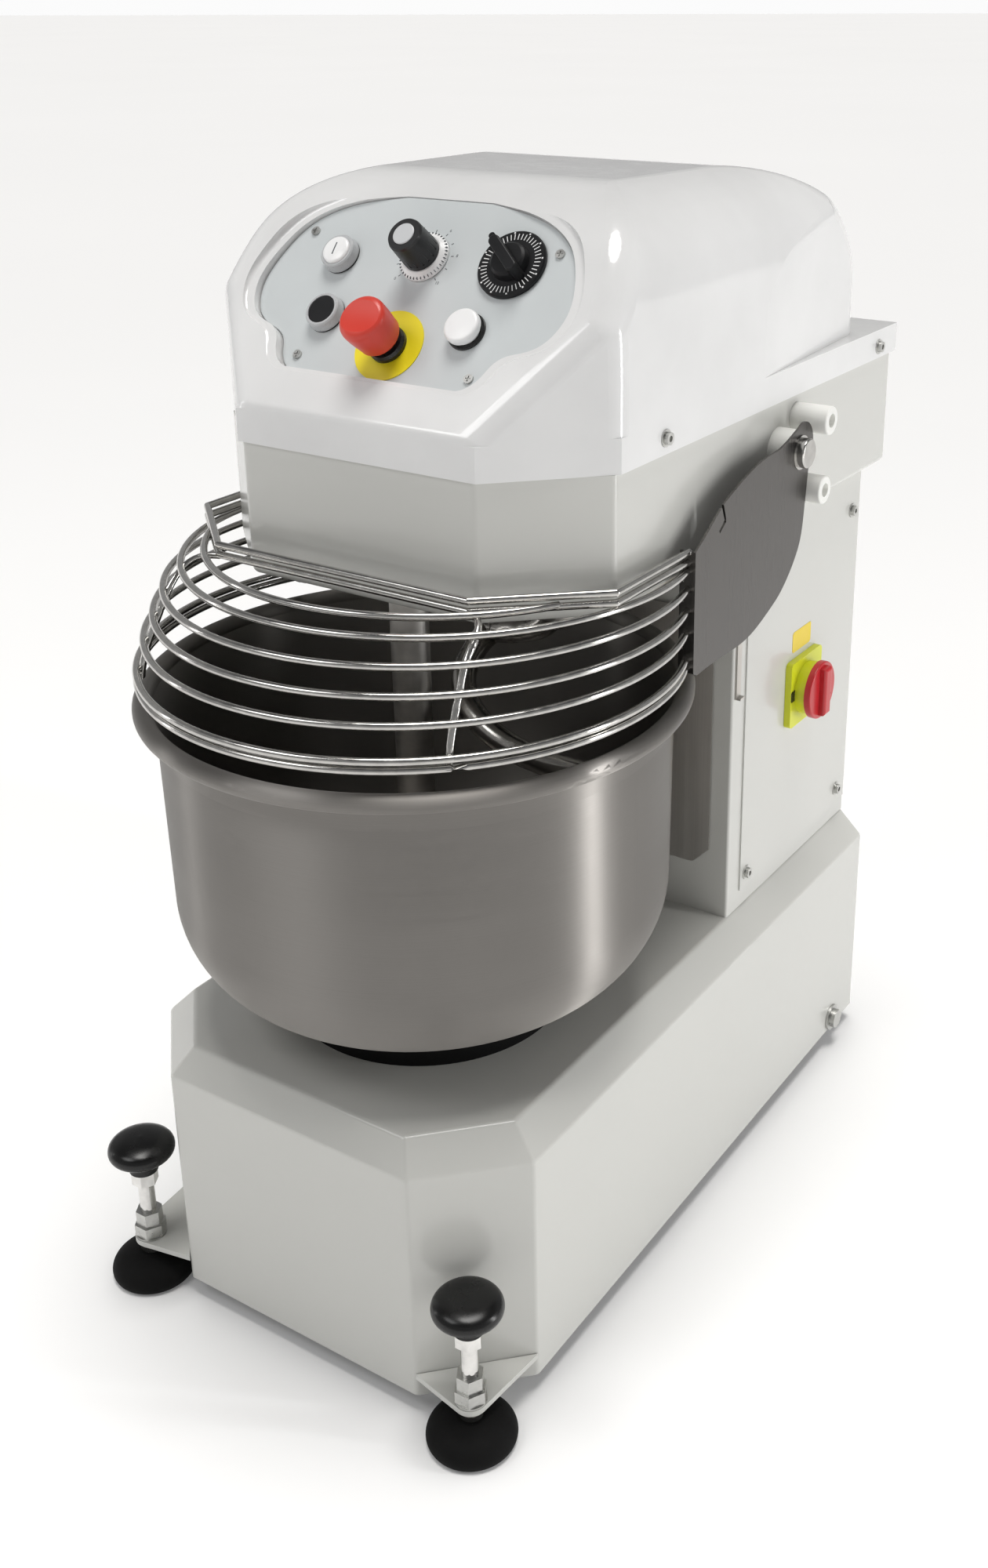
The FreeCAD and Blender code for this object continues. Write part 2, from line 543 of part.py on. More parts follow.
# Column trim: covers, main switch, splash sheet.
cover = box(column_half, column_half + 1.5, 111.4, 349, 272, 632)
save("side_panel", cover.cut(cross(26, switch_y, switch_z, 160, 180)))
rear = box(-140, 140, column_rear, column_rear + 1.5, 276, 620)
for k in range(9):
    rear = rear.cut(box(-70, 70, column_rear - 1, column_rear + 3, 330 + 16 * k, 335 + 16 * k))
save("rear_panel", rear.cut(gland_rod(9.8, 340, 370)))
gland = join(gland_rod(9.6, 344, 356), gland_rod(14, column_rear + 1.5, 360), gland_rod(12, 360, 369))
save("cable_gland", gland.cut(gland_rod(5, 340, 375)))
yellow = box(column_half + 1.5, column_half + 8, 193.7, 260.7, 409.5, 476.5)
yellow = soften(yellow, 5.0, lambda e: e.BoundBox.XLength > 5)
yellow = join(yellow, cross(26, switch_y, switch_z, column_half + 8, 189.5))
save("switch_plate", yellow.cut(cross(12.1, switch_y, switch_z, 160, 200)))
body = cross(25.5, switch_y, switch_z, 122, column_half + 1.5)
save("switch_body", body.cut(cross(6.1, switch_y, switch_z, 140, 190)))
disc = soften(cross(28.5, switch_y, switch_z, 190, 196.5), 1.5, lambda e: e.BoundBox.XMin > 196)
knob = join(disc, cross(12, switch_y, switch_z, 172.8, 191), cross(6, switch_y, switch_z, 145, 173))
bar = box(196, 203, switch_y - 7, switch_y + 7, switch_z - 24, switch_z + 24)
bar = soften(bar, 3.0, lambda e: e.BoundBox.XMin > 197)
save("switch_handle", join(knob, bar))
splash = box(-152, 152, 84.2, 85.4, splash_low, 560)
for x in (-152, 152):
    wedge = Part.makeBox(24, 10, 24, V(-12, -5, -12))
    wedge.rotate(V(0, 0, 0), BACK, 45)
    wedge.translate(V(x, 85, splash_low))
    splash = splash.cut(wedge)
strip = join(box(column_half, column_half + 2, 91, 99, strip_low + 2, 605),
             box(column_half, column_half + 6, 91, 99, strip_low, strip_low + 2))
strips = both_sides(strip)
spacers = [rod(6, V(x, 85.4, z), V(x, column_front, z)) for x in (-120, 120) for z in (350, 530)]
save("splash_plate", splash, *(spacers + strips))


def housing_screw(x, y, z, normal):
    start = V(x, y, z)
    washer = rod(7, start, start + normal * 1.2)
    cap = rod(5, start + normal * 1.2, start + normal * 4.6)
    return join(washer, cap.cut(rod(2.4, start + normal * 2.6, start + normal * 6)))


screws = []
for side in (-1, 1):
    out = V(side, 0, 0)
    screws += [housing_screw(side * hood_half, y, z, out) for y, z in ((-74.6, 760), (331.7, 758))]
for y, z in ((123, 287), (328, 288), (127, 600), (331, 593)):
    screws.append(housing_screw(column_half + 1.5, y, z, RIGHT))
for x in (-130, 130):
    for z in (286, 610):
        screws.append(housing_screw(x, column_rear + 1.5, z, BACK))
save("housing_screws", *screws)

# Front levelling feet: bracket, and a screwed spindle with knob and pad.
mid = V(base_half - base_cut_x / 2, base_front + base_cut_y / 2, 0)
corner_a = V(base_half - base_cut_x, base_front, 0)
corner_b = V(base_half, base_front + base_cut_y, 0)
out = V(1, -1, 0).normalize()
along = V(1, 1, 0).normalize()
foot = V(foot_x, foot_y, 0)
nose_r = 14.0


def nose_tangent(corner, side):
    away = corner - foot
    turn = math.atan2(away.y, away.x) + side * math.acos(nose_r / away.Length)
    return foot + V(math.cos(turn), math.sin(turn), 0) * nose_r


corner_a += out * 0.6
corner_b += out * 0.6
shape = [corner_a, nose_tangent(corner_a, 1), nose_tangent(corner_b, -1), corner_b]
bracket = prism_z([(p.x, p.y) for p in shape], foot_plate_z - 5, foot_plate_z)
bracket = join(bracket, post(nose_r, foot_x, foot_y, foot_plate_z - 5, foot_plate_z))
web = [mid - along * 20 + out * 0.6, mid + along * 20 + out * 0.6, mid + along * 20 + out * 4.6,
       mid - along * 20 + out * 4.6]
bracket = join(bracket, prism_z([(p.x, p.y) for p in web], 26, foot_plate_z))
save("foot_brackets", *both_sides(bracket.cut(post(7.06, foot_x, foot_y, 20, 60))))
pad = turned(31, 0, [(31, 0), (35, 1.8), (36.8, 6.5), (35.4, 12), (30, 17.6), (21, 21.8), (12, 24.5)],
             foot_x, foot_y)
spindle = join(post(7, foot_x, foot_y, 24.5, 116), post(10.5, foot_x, foot_y, 25, 31))


def nut(r, z0, z1):
    ring = [(foot_x + r * math.cos(math.radians(60 * k)), foot_y + r * math.sin(math.radians(60 * k)))
            for k in range(6)]
    return prism_z(ring, z0, z1)


lock = join(post(13.5, foot_x, foot_y, foot_plate_z, 42), nut(13.8, 42, 53), nut(11.6, 53, 66.5))
save("foot_nuts", *both_sides(lock.cut(post(7.06, foot_x, foot_y, 30, 80))))
spindle = join(spindle, nut(11.6, 96.5, 109.5))
knob = turned(12.5, 109.5, [(12.5, 109.5), (12.9, 117), (17, 121.5), (23.5, 124.5), (28, 128.5),
                            (28.7, 132.5), (26.8, 137), (21, 140.6), (12, 142.6), (0, 143.3)],
              foot_x, foot_y)
knob = knob.cut(post(7, foot_x, foot_y, 100, 116))
for side, name in ((1, "right"), (-1, "left")):
    for part_name, shape in (("foot_pad", pad), ("foot_spindle", spindle), ("foot_knob", knob)):
        save("%s_%s" % (part_name, name), shape if side > 0 else shape.mirror(V(0, 0, 0), RIGHT))

# Wheels: a fixed pair at the rear, swivel castors behind the front feet.
wheel = join(cross(axle_z, axle_y, axle_z, 150, 176), cross(16, axle_y, axle_z, 147, 179))
wheel = wheel.cut(cross(8.05, axle_y, axle_z, 100, 200))
wheel = soften(wheel, 3.0, lambda e: e.BoundBox.YLength > 50 and e.BoundBox.XLength < 1)
save("rear_wheel_right", wheel)
save("rear_wheel_left", wheel.mirror(V(0, 0, 0), RIGHT))
bolt = join(cross(8, axle_y, axle_z, -196, 196), cross(14, axle_y, axle_z, 195.2, 197.5),
            cross(14, axle_y, axle_z, -197.5, -195.2), cross(10, axle_y, axle_z, 197, 203),
            cross(10, axle_y, axle_z, -203, -197))
save("rear_axle", bolt)
beam = box(-192.3, 192.3, castor_y - 26, castor_y + 26, 64, 68)
for side in (-1, 1):
    beam = beam.cut(post(7.05, side * castor_x, castor_y, 60, 70))
save("castor_beam", beam)
fork = join(post(7, castor_x, castor_y, 58, 72), post(20, castor_x, castor_y, 58, 63.7),
            box(castor_x - 15, castor_x + 15, castor_y - 14, castor_y + castor_trail + 10, 54, 58))
for x in (-15, 12.5):
    arm = prism_x([(castor_y - 6, 56), (castor_y + castor_trail - 9, 20), (castor_y + castor_trail + 9, 20),
                   (castor_y + castor_trail + 9, 56)], castor_x + x, castor_x + x + 2.5)
    fork = fork.fuse(arm)
centre = castor_y + castor_trail
fork = fork.fuse(cross(4, centre, castor_r + 2, castor_x - 17, castor_x + 17)).removeSplitter()
roller = cross(castor_r, centre, castor_r + 2, castor_x - 11, castor_x + 11)
roller = soften(roller, 3.0, lambda e: e.BoundBox.YLength > 40 and e.BoundBox.XLength < 1)
roller = roller.cut(cross(4.05, centre, castor_r + 2, castor_x - 20, castor_x + 20))
for side, name in ((1, "right"), (-1, "left")):
    save("castor_fork_" + name, fork if side > 0 else fork.mirror(V(0, 0, 0), RIGHT))
    save("castor_wheel_" + name, roller if side > 0 else roller.mirror(V(0, 0, 0), RIGHT))
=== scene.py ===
import json
import math
import bmesh
import bpy
from mathutils import Matrix, Vector


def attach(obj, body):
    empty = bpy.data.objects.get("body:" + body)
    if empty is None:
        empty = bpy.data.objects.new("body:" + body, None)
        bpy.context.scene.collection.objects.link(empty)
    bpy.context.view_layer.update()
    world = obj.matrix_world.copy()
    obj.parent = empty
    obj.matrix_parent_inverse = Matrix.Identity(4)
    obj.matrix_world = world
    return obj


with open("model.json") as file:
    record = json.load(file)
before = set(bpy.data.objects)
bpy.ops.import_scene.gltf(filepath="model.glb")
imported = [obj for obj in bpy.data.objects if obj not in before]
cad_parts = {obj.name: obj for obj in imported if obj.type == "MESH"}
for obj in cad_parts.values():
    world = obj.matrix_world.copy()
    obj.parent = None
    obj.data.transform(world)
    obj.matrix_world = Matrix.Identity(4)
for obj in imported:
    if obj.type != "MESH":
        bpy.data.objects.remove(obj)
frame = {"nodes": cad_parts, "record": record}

scene = bpy.context.scene
nodes = frame["nodes"]
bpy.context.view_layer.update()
print("frame loaded:", len(nodes), "nodes")

# the sloping control panel, as a place for everything that is built flat and then laid on it
panelSheet = {"tilt": 50.0, "y": -0.1055, "z": 0.895}
panelPlace = (Matrix.Translation((0, panelSheet["y"], panelSheet["z"]))
              @ Matrix.Rotation(math.radians(panelSheet["tilt"]), 4, "X"))


def onPanel(x, up, height=0.0):
    return panelPlace @ Matrix.Translation((x, up, height))


# camera: in front and to the right, a little above the hood, looking down
cameraSetup = {"place": (0.7902, -1.1344, 1.0815), "turn": 32.162, "down": 20.828, "roll": -0.126,
               "lens": 38.09, "sensor": 36.0, "shift": (-0.0624, -0.1088)}


def makeCamera(setup):
    turn, down, roll = (math.radians(setup[k]) for k in ("turn", "down", "roll"))
    ahead = Vector((-math.sin(turn) * math.cos(down), math.cos(turn) * math.cos(down), -math.sin(down)))
    level = Vector((math.cos(turn), math.sin(turn), 0))
    upright = level.cross(ahead)
    right = level * math.cos(roll) + upright * math.sin(roll)
    upward = upright * math.cos(roll) - level * math.sin(roll)
    data = bpy.data.cameras.new("camera")
    data.lens, data.sensor_width = setup["lens"], setup["sensor"]
    data.shift_x, data.shift_y = setup["shift"]
    data.clip_start, data.clip_end = 0.05, 60.0
    camera = bpy.data.objects.new("camera", data)
    camera.matrix_world = (Matrix.Translation(setup["place"])
                           @ Matrix((right, upward, -ahead)).transposed().to_4x4())
    scene.collection.objects.link(camera)
    scene.camera = camera


makeCamera(cameraSetup)
print("camera placed")


# node-tree shorthand
def link(tree, source, target):
    tree.links.new(source, target)


def addNode(tree, kind, settings=None, **inputs):
    made = tree.nodes.new(kind)
    for key, value in (settings or {}).items():
        setattr(made, key, value)
    for key, value in inputs.items():
        made.inputs[key].default_value = value
    return made


def mathOf(tree, operation, *values):
    made = addNode(tree, "ShaderNodeMath", {"operation": operation})
    for socket, value in zip(made.inputs, values):
        if isinstance(value, (int, float)):
            socket.default_value = value
        else:
            link(tree, value, socket)
    return made.outputs[0]


def rampOf(tree, source, *stops):
    ramp = addNode(tree, "ShaderNodeValToRGB")
    elements = ramp.color_ramp.elements
    while len(elements) < len(stops):
        elements.new(0.5)
    for element, (place, value) in zip(elements, stops):
        element.position = place
        element.color = (*value, 1) if isinstance(value, tuple) else (value, value, value, 1)
    link(tree, source, ramp.inputs["Fac"])
    return ramp.outputs["Color"]


def noiseOf(tree, vector, scale, detail=3.0):
    noise = addNode(tree, "ShaderNodeTexNoise", Scale=scale, Detail=detail)
    link(tree, vector, noise.inputs["Vector"])
    return noise.outputs["Fac"]


def placeOf(tree, scale=(1, 1, 1), turn=(0, 0, 0), move=(0, 0, 0)):
    coords = addNode(tree, "ShaderNodeTexCoord")
    mapping = addNode(tree, "ShaderNodeMapping", Scale=scale, Rotation=turn, Location=move)
    link(tree, coords.outputs["Object"], mapping.inputs["Vector"])
    return mapping.outputs["Vector"]


def panelCoords(tree):
    back = panelPlace.inverted()
    return placeOf(tree, turn=back.to_euler(), move=back.to_translation())


def newFinish(name, colour, roughness, metallic=0.0, sockets=None):
    material = bpy.data.materials.new(name)
    material.use_nodes = True
    tree = material.node_tree
    shader = tree.nodes["Principled BSDF"]
    shader.inputs["Base Color"].default_value = (*colour, 1)
    shader.inputs["Roughness"].default_value = roughness
    shader.inputs["Metallic"].default_value = metallic
    for key, value in (sockets or {}).items():
        shader.inputs[key].default_value = value
    return material, tree, shader


def tintOf(tree, shader, fac, dark, light):
    link(tree, rampOf(tree, fac, (0.3, dark), (0.7, light)), shader.inputs["Base Color"])


def roughOf(tree, shader, fac, low, high):
    link(tree, rampOf(tree, fac, (0.3, low), (0.7, high)), shader.inputs["Roughness"])


def bumpOf(tree, shader, height, strength, depth):
    bump = addNode(tree, "ShaderNodeBump", Strength=strength, Distance=depth)
    link(tree, height, bump.inputs["Height"])
    link(tree, bump.outputs["Normal"], shader.inputs["Normal"])


def scaled(colour, factor):
    return tuple(min(1.0, channel * factor) for channel in colour)


# finishes: paint and plastics
coatLook = {"colour": (0.59, 0.59, 0.56), "roughness": 0.25, "peel": 520.0, "peelDepth": 0.00012}


def powderCoat(look):
    sockets = {"Coat Weight": 0.35, "Coat Roughness": 0.12}
    material, tree, shader = newFinish("powderCoat", look["colour"], look["roughness"], 0.0, sockets)
    place = placeOf(tree)
    tintOf(tree, shader, noiseOf(tree, place, 4.0, 1.0), scaled(look["colour"], 0.985),
           scaled(look["colour"], 1.01))
    roughOf(tree, shader, noiseOf(tree, place, 90.0, 1.0), look["roughness"] - 0.02,
            look["roughness"] + 0.02)
    bumpOf(tree, shader, noiseOf(tree, place, look["peel"], 2.0), 0.12, look["peelDepth"])
    return material


mouldLooks = {
    "hoodWhite": {"colour": (0.75, 0.75, 0.748), "roughness": 0.15, "grain": 260.0, "depth": 0.0002,
                  "coat": 0.6},
    "capWhite": {"colour": (0.84, 0.84, 0.84), "roughness": 0.3, "grain": 900.0, "depth": 0.0001,
                 "coat": 0.1},
    "nylonWhite": {"colour": (0.80, 0.80, 0.77), "roughness": 0.42, "grain": 700.0, "depth": 0.0003,
                   "coat": 0.0},
    "blackPlastic": {"colour": (0.008, 0.008, 0.009), "roughness": 0.4, "grain": 1500.0, "depth": 0.0002,
                     "coat": 0.0, "specular": 0.25},
    "glossBlack": {"colour": (0.005, 0.005, 0.005), "roughness": 0.26, "grain": 300.0, "depth": 0.0002,
                   "coat": 0.0, "specular": 0.4},
    "rubberBlack": {"colour": (0.006, 0.006, 0.006), "roughness": 0.7, "grain": 420.0, "depth": 0.0008,
                    "coat": 0.0, "specular": 0.12},
    "redPlastic": {"colour": (0.62, 0.045, 0.028), "roughness": 0.36, "grain": 800.0, "depth": 0.0002,
                   "coat": 0.05},
    "switchRed": {"colour": (0.50, 0.012, 0.018), "roughness": 0.3, "grain": 800.0, "depth": 0.0002,
                  "coat": 0.2},
    "yellowDisc": {"colour": (0.83, 0.70, 0.012), "roughness": 0.45, "grain": 800.0, "depth": 0.0001,
                   "coat": 0.0},
    "limeYellow": {"colour": (0.66, 0.70, 0.02), "roughness": 0.32, "grain": 800.0, "depth": 0.0002,
                   "coat": 0.1},
    "greyWheel": {"colour": (0.09, 0.09, 0.095), "roughness": 0.55, "grain": 500.0, "depth": 0.0005,
                  "coat": 0.0},
    "markWhite": {"colour": (0.80, 0.80, 0.80), "roughness": 0.5, "grain": 900.0, "depth": 0.0001,
                  "coat": 0.0},
    "labelYellow": {"colour": (0.80, 0.60, 0.02), "roughness": 0.4, "grain": 900.0, "depth": 0.0001,
                    "coat": 0.1},
    "inkGrey": {"colour": (0.10, 0.11, 0.12), "roughness": 0.6, "grain": 900.0, "depth": 0.0001,
                "coat": 0.0},
}


def moulded(name, look):
    sockets = {"Coat Weight": look["coat"], "Coat Roughness": 0.08,
               "Specular IOR Level": look.get("specular", 0.5)}
    material, tree, shader = newFinish(name, look["colour"], look["roughness"], 0.0, sockets)
    place = placeOf(tree)
    tintOf(tree, shader, noiseOf(tree, place, 9.0), scaled(look["colour"], 0.95),
           scaled(look["colour"], 1.03))
    roughOf(tree, shader, noiseOf(tree, place, 60.0), look["roughness"] - 0.04, look["roughness"] + 0.05)
    bumpOf(tree, shader, noiseOf(tree, place, look["grain"], 2.0), 0.15, look["depth"])
    return material


satinLook = {"colour": (0.56, 0.59, 0.597), "roughness": 0.42, "grain": 1400.0}


def satinSheet(look):
    material, tree, shader = newFinish("panelSatin", look["colour"], look["roughness"])
    place = panelCoords(tree)
    tintOf(tree, shader, noiseOf(tree, place, 14.0), scaled(look["colour"], 0.975),
           scaled(look["colour"], 1.02))
    speckle = noiseOf(tree, place, look["grain"], 2.0)
    roughOf(tree, shader, speckle, look["roughness"] - 0.06, look["roughness"] + 0.08)
    bumpOf(tree, shader, speckle, 0.2, 0.0001)
    return material


# finishes: metals. Brushing runs round an upright axis or straight along one direction.
def aroundAxis(tree, centre, along, across):
    split = addNode(tree, "ShaderNodeSeparateXYZ")
    link(tree, placeOf(tree, move=(-centre[0], -centre[1], 0)), split.inputs[0])
    x, y, z = split.outputs
    radius = mathOf(tree, "SQRT", mathOf(tree, "ADD", mathOf(tree, "MULTIPLY", x, x),
                                         mathOf(tree, "MULTIPLY", y, y)))
    joined = addNode(tree, "ShaderNodeCombineXYZ")
    link(tree, mathOf(tree, "MULTIPLY", mathOf(tree, "ARCTAN2", y, x), along), joined.inputs[0])
    link(tree, mathOf(tree, "MULTIPLY", z, across), joined.inputs[1])
    link(tree, mathOf(tree, "MULTIPLY", radius, across), joined.inputs[2])
    return joined.outputs[0]


# the bowl's colour is painted shade: steel darkened to about half its real tone to stand in for the dark
# surroundings it reflects
bowlLook = {"centre": (0.0, -0.147), "colour": (0.29, 0.276, 0.26), "roughness": 0.46, "along": 1.6,
            "across": 1500.0, "bandAcross": 16.0, "anisotropy": 0.96}


def spunSteel(look):
    sockets = {"Anisotropic": look["anisotropy"], "Anisotropic Rotation": 0.25}
    material, tree, shader = newFinish("spunSteel", look["colour"], look["roughness"], 1.0, sockets)
    tangent = addNode(tree, "ShaderNodeTangent", {"direction_type": "RADIAL", "axis": "Z"})
    link(tree, tangent.outputs[0], shader.inputs["Tangent"])
    fine = noiseOf(tree, aroundAxis(tree, look["centre"], look["along"], look["across"]), 1.0, 4.0)
    band = noiseOf(tree, aroundAxis(tree, look["centre"], 0.8, look["bandAcross"]), 1.0, 2.0)
    blend = mathOf(tree, "ADD", mathOf(tree, "MULTIPLY", fine, 0.6), mathOf(tree, "MULTIPLY", band, 0.4))
    tintOf(tree, shader, blend, scaled(look["colour"], 0.93), scaled(look["colour"], 1.06))
    roughOf(tree, shader, blend, look["roughness"] - 0.05, look["roughness"] + 0.07)
    bumpOf(tree, shader, fine, 0.05, 0.00005)
    return material


sheetLooks = {
    # the guard plate's brushedSheet colour is painted shade: steel darkened to near black to stand in for
    # the dark surroundings it reflects
    "brushedSheet": {"colour": (0.12, 0.115, 0.11), "roughness": 0.3, "grain": (900.0, 900.0, 4.0)},
    "splashSteel": {"colour": (0.55, 0.53, 0.50), "roughness": 0.5, "grain": (900.0, 900.0, 4.0)},
}


def brushedSheet(name, look):
    material, tree, shader = newFinish(name, look["colour"], look["roughness"], 1.0)
    streak = noiseOf(tree, placeOf(tree, scale=look["grain"]), 1.0, 4.0)
    tintOf(tree, shader, streak, scaled(look["colour"], 0.93), scaled(look["colour"], 1.07))
    roughOf(tree, shader, streak, look["roughness"] - 0.05, look["roughness"] + 0.08)
    bumpOf(tree, shader, streak, 0.05, 0.00005)
    return material


metalLooks = {
    "polishedWire": {"colour": (0.52, 0.51, 0.49), "roughness": 0.16, "scale": 110.0, "spread": 0.05},
    "spiralSteel": {"colour": (0.42, 0.405, 0.38), "roughness": 0.22, "scale": 80.0, "spread": 0.08},
    "dividerSteel": {"colour": (0.62, 0.60, 0.57), "roughness": 0.42, "scale": 80.0, "spread": 0.08},
    "zincBright": {"colour": (0.55, 0.55, 0.53), "roughness": 0.34, "scale": 190.0, "spread": 0.09},
    "chromeRod": {"colour": (0.74, 0.73, 0.71), "roughness": 0.1, "scale": 120.0, "spread": 0.03},
    "castGrey": {"colour": (0.16, 0.17, 0.175), "roughness": 0.55, "scale": 140.0, "spread": 0.12},
    "motorAlloy": {"colour": (0.42, 0.43, 0.44), "roughness": 0.46, "scale": 160.0, "spread": 0.1},
    "zincSheet": {"colour": (0.48, 0.49, 0.48), "roughness": 0.4, "scale": 30.0, "spread": 0.12},
}


def plainMetal(name, look):
    material, tree, shader = newFinish(name, look["colour"], look["roughness"], 1.0)
    place = placeOf(tree)
    cloud = noiseOf(tree, place, look["scale"], 4.0)
    tintOf(tree, shader, cloud, scaled(look["colour"], 0.9), scaled(look["colour"], 1.08))
    roughOf(tree, shader, cloud, max(0.03, look["roughness"] - look["spread"]),
            look["roughness"] + look["spread"])
    bumpOf(tree, shader, noiseOf(tree, place, look["scale"] * 6, 2.0), 0.08, 0.00015)
    return material


# two-tone mouldings: the colour changes with the height above the panel, or from button to button; the dark
# band at the foot of the bezels is painted shade, not a moulding
def knobWithCap(name, body, cap, height):
    material, tree, shader = newFinish(name, body, 0.38)
    split = addNode(tree, "ShaderNodeSeparateXYZ")
    link(tree, panelCoords(tree), split.inputs[0])
    step = mathOf(tree, "GREATER_THAN", split.outputs[2], height)
    link(tree, rampOf(tree, step, (0.0, body), (1.0, cap)), shader.inputs["Base Color"])
    grain = noiseOf(tree, placeOf(tree), 900.0, 2.0)
    roughOf(tree, shader, grain, 0.32, 0.48)
    bumpOf(tree, shader, grain, 0.15, 0.0002)
    return material


# shadedFoot: height of a band at each bezel's foot, painted black as shade where it meets the panel
bezelLook = {"black": (0.012, 0.012, 0.012), "silver": (0.46, 0.47, 0.48), "shadedFoot": 0.0014, "edge": -0.03}


def bezelRing(look):
    material, tree, shader = newFinish("bezelRing", look["silver"], 0.3)
    split = addNode(tree, "ShaderNodeSeparateXYZ")
    link(tree, panelCoords(tree), split.inputs[0])
    # black below shadedFoot as painted shade at the bezel's foot, and black moulding on the bezels past edge
    dark = mathOf(tree, "MAXIMUM", mathOf(tree, "LESS_THAN", split.outputs[2], look["shadedFoot"]),
                  mathOf(tree, "GREATER_THAN", split.outputs[0], look["edge"]))
    link(tree, rampOf(tree, dark, (0.0, look["silver"]), (1.0, look["black"])), shader.inputs["Base Color"])
    grain = noiseOf(tree, placeOf(tree), 700.0, 2.0)
    roughOf(tree, shader, grain, 0.24, 0.4)
    bumpOf(tree, shader, grain, 0.12, 0.0001)
    return material


finishes = {"powderCoat": powderCoat(coatLook), "panelSatin": satinSheet(satinLook),
            "spunSteel": spunSteel(bowlLook),
            "bezelRing": bezelRing(bezelLook),
            "speedKnob": knobWithCap("speedKnob", (0.010, 0.010, 0.011), (0.55, 0.56, 0.57), 0.03305)}
for name, look in mouldLooks.items():
    finishes[name] = moulded(name, look)
for name, look in sheetLooks.items():
    finishes[name] = brushedSheet(name, look)
for name, look in metalLooks.items():
    finishes[name] = plainMetal(name, look)
print("finishes made:", len(finishes))

# which finish each record slot takes, and the nodes that differ from their slot
slotFinish = {
    "white_coat": "powderCoat", "hood_white": "hoodWhite", "panel_grey": "panelSatin", "zinc": "zincBright",
    "bezel_grey": "bezelRing", "white_plastic": "capWhite", "black_plastic": "blackPlastic",
    "red_plastic": "redPlastic", "yellow_plastic": "limeYellow", "brushed_bowl": "spunSteel",
    "brushed_plate": "brushedSheet", "polished_wire": "polishedWire", "white_nylon": "nylonWhite",
    "black_rubber": "rubberBlack", "gloss_black": "glossBlack", "bright_steel": "chromeRod",
    "cast_grey": "castGrey", "motor_alu": "motorAlloy", "zinc_sheet": "zincSheet", "grey_wheel": "greyWheel",
}
nodeFinish = {"speed_knob": "speedKnob", "estop_legend": "yellowDisc", "switch_handle": "switchRed",
              "spiral_hook": "spiralSteel", "dough_divider": "dividerSteel", "splash_plate": "splashSteel"}
slotOf = {part["node"]: part["material_slot"] for part in frame["record"]["subparts"]}
for name, cad in nodes.items():
    cad.data.materials.clear()
    cad.data.materials.append(finishes[nodeFinish.get(name, slotFinish[slotOf[name]])])


# geometry node trees for what repeats
def newTree(name, inputs, takesMesh=False):
    tree = bpy.data.node_groups.new(name, "GeometryNodeTree")
    tree.interface.new_socket("Geometry", in_out="OUTPUT", socket_type="NodeSocketGeometry")
    if takesMesh:
        tree.interface.new_socket("Geometry", in_out="INPUT", socket_type="NodeSocketGeometry")
    for label, (kind, value) in inputs.items():
        socket = tree.interface.new_socket(label, in_out="INPUT", socket_type="NodeSocket" + kind)
        if value is not None:
            socket.default_value = value
    return tree, tree.nodes.new("NodeGroupInput"), tree.nodes.new("NodeGroupOutput")


def closeTree(tree, source, start, end):
    realize = tree.nodes.new("GeometryNodeRealizeInstances")
    paint = tree.nodes.new("GeometryNodeSetMaterial")
    link(tree, source, realize.inputs[0])
    link(tree, realize.outputs[0], paint.inputs["Geometry"])
    link(tree, start.outputs["Material"], paint.inputs["Material"])
    link(tree, paint.outputs[0], end.inputs[0])


def meshFromTree(tree, values, points=()):
    mesh = bpy.data.meshes.new("points")
    mesh.from_pydata([tuple(p) for p in points], [], [])
    holder = bpy.data.objects.new("holder", mesh)
    scene.collection.objects.link(holder)
    modifier = holder.modifiers.new("nodes", "NODES")
    modifier.node_group = tree
    for item in tree.interface.items_tree:
        if item.in_out == "INPUT" and item.name in values:
            modifier[item.identifier] = values[item.name]
    bpy.context.view_layer.update()
    result = bpy.data.meshes.new_from_object(holder.evaluated_get(bpy.context.evaluated_depsgraph_get()))
    bpy.data.objects.remove(holder)
    return result


def dialTree():
    tree, start, end = newTree("dialMarks", {
        "Count": ("Int", 12), "First": ("Float", 0.0), "Step": ("Float", 0.1), "Radius": ("Float", 0.02),
        "Length": ("Float", 0.004), "Width": ("Float", 0.001), "Height": ("Float", 0.0003),
        "Material": ("Material", None)})
    line = addNode(tree, "GeometryNodeMeshLine")
    link(tree, start.outputs["Count"], line.inputs["Count"])
    line.inputs["Offset"].default_value = (0, 0, 0)
    size = tree.nodes.new("ShaderNodeCombineXYZ")
    for axis, label in enumerate(("Length", "Width", "Height")):
        link(tree, start.outputs[label], size.inputs[axis])
    bar = tree.nodes.new("GeometryNodeMeshCube")
    link(tree, size.outputs[0], bar.inputs["Size"])
    out = tree.nodes.new("ShaderNodeCombineXYZ")
    link(tree, start.outputs["Radius"], out.inputs[0])
    moved = tree.nodes.new("GeometryNodeTransform")
    link(tree, bar.outputs["Mesh"], moved.inputs["Geometry"])
    link(tree, out.outputs[0], moved.inputs["Translation"])
    index = tree.nodes.new("GeometryNodeInputIndex")
    angle = mathOf(tree, "ADD", mathOf(tree, "MULTIPLY", index.outputs[0], start.outputs["Step"]),
                   start.outputs["First"])
    turn = tree.nodes.new("ShaderNodeCombineXYZ")
    link(tree, angle, turn.inputs[2])
    spread = tree.nodes.new("GeometryNodeInstanceOnPoints")
    link(tree, line.outputs["Mesh"], spread.inputs["Points"])
    link(tree, moved.outputs[0], spread.inputs["Instance"])
    link(tree, turn.outputs[0], spread.inputs["Rotation"])
    closeTree(tree, spread.outputs[0], start, end)
    return tree


dialMarks = dialTree()


def addPiece(name, mesh, place, body):
    if place is not None:
        mesh.transform(place)
    piece = bpy.data.objects.new(name, mesh)
    scene.collection.objects.link(piece)
    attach(piece, body)
    return piece


